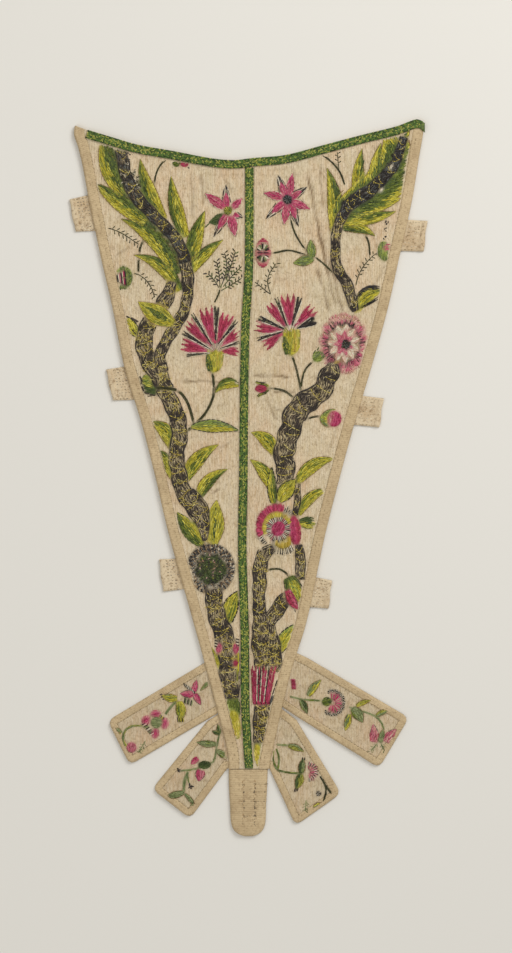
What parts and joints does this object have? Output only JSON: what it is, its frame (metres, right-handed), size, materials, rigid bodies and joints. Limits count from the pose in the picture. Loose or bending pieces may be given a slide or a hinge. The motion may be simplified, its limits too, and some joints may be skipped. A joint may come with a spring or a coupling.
{
  "type": "embroidered stomacher",
  "caption": "Flat tapered garment front with a dipped neckline, pin tabs on its long edges, and spread tabs round a tongue at its point.",
  "frame": {"origin": "centre of the garment's bounding box, on the plane it lies on", "axes": "+X to the viewer's right across the front, +Y towards the neckline, +Z out of the worked face"},
  "size_m": [0.1936, 0.3873, 0.0033],
  "materials": {
    "silk": "cream ribbed silk embroidered in coloured silk and metal thread",
    "ribbon": "cream ribbed silk ribbon",
    "braid": "woven green and gold braid",
    "tape": "plain woven linen tape"
  },
  "bodies": {
    "root": {"panel_left": "silk", "panel_right": "silk", "binding_left": "ribbon", "binding_right": "ribbon", "braid_top": "braid", "braid_centre": "braid", "tab_centre": "ribbon", "tab_outer_left": "silk", "tab_outer_left_binding": "ribbon", "tab_inner_left": "silk", "tab_inner_left_binding": "ribbon", "tab_inner_right": "silk", "tab_inner_right_binding": "ribbon", "tab_outer_right": "silk", "tab_outer_right_binding": "ribbon", "pin_tab_left_1": "tape", "pin_tab_left_2": "tape", "pin_tab_left_3": "tape", "pin_tab_right_1": "tape", "pin_tab_right_2": "tape", "pin_tab_right_3": "tape"}
  },
  "joints": []
}
